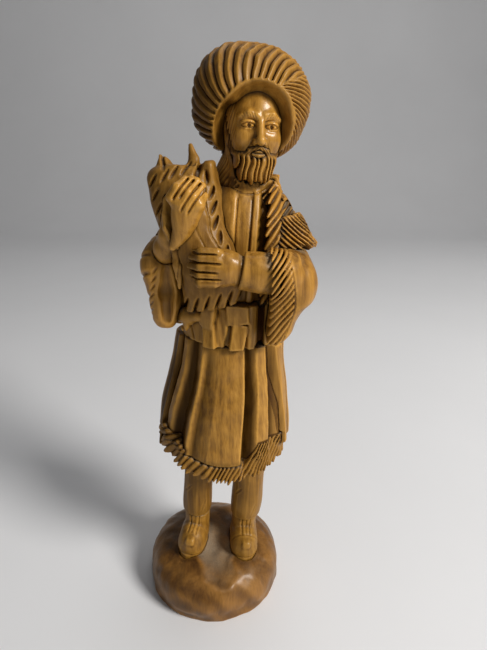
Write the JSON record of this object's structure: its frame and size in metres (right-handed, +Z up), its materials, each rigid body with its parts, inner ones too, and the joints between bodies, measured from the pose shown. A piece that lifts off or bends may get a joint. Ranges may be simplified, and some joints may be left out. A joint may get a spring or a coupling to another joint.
{
  "type": "carved wooden shepherd figurine",
  "caption": "Carved wooden shepherd in a shaggy fur hat and fringed coat, holding a fleece bundle to the right shoulder, standing on a domed base.",
  "frame": {"origin": "centre of the base's round underside, on the surface it stands on", "axes": "+Z up, -Y the way the figure faces, +X towards the figure's own left hand"},
  "size_m": [0.0817, 0.0704, 0.2546],
  "materials": {
    "carved_wood": "honey-brown varnish over smooth knife-cut wood, grain upright",
    "fur_wood": "the same varnished wood cut into close V grooves, darker in the cuts",
    "skin_wood": "the same varnished wood, rubbed smooth and a little paler",
    "base_wood": "redder brown varnished wood with swirling grain"
  },
  "bodies": {
    "root": {"hand_left": "skin_wood", "shirt_cuff_left": "carved_wood", "hand_right": "skin_wood", "forearm_right": "carved_wood", "fleece_bundle": "fur_wood", "bell_sleeve_left": "fur_wood", "bell_sleeve_right": "fur_wood", "fur_cuff_left": "fur_wood", "upper_sleeve_left": "carved_wood", "upper_sleeve_right": "carved_wood", "beard": "fur_wood", "head": "skin_wood", "torso": "carved_wood", "coat_body": "fur_wood", "fur_hat": "fur_wood", "waist_sash": "carved_wood", "shoe_right": "carved_wood", "shoe_left": "carved_wood", "trouser_leg_right": "carved_wood", "trouser_leg_left": "carved_wood", "tunic_skirt": "carved_wood", "wrap_fringe": "fur_wood", "hem_fringe": "fur_wood", "coat_tail": "carved_wood", "base": "base_wood"}
  },
  "joints": []
}
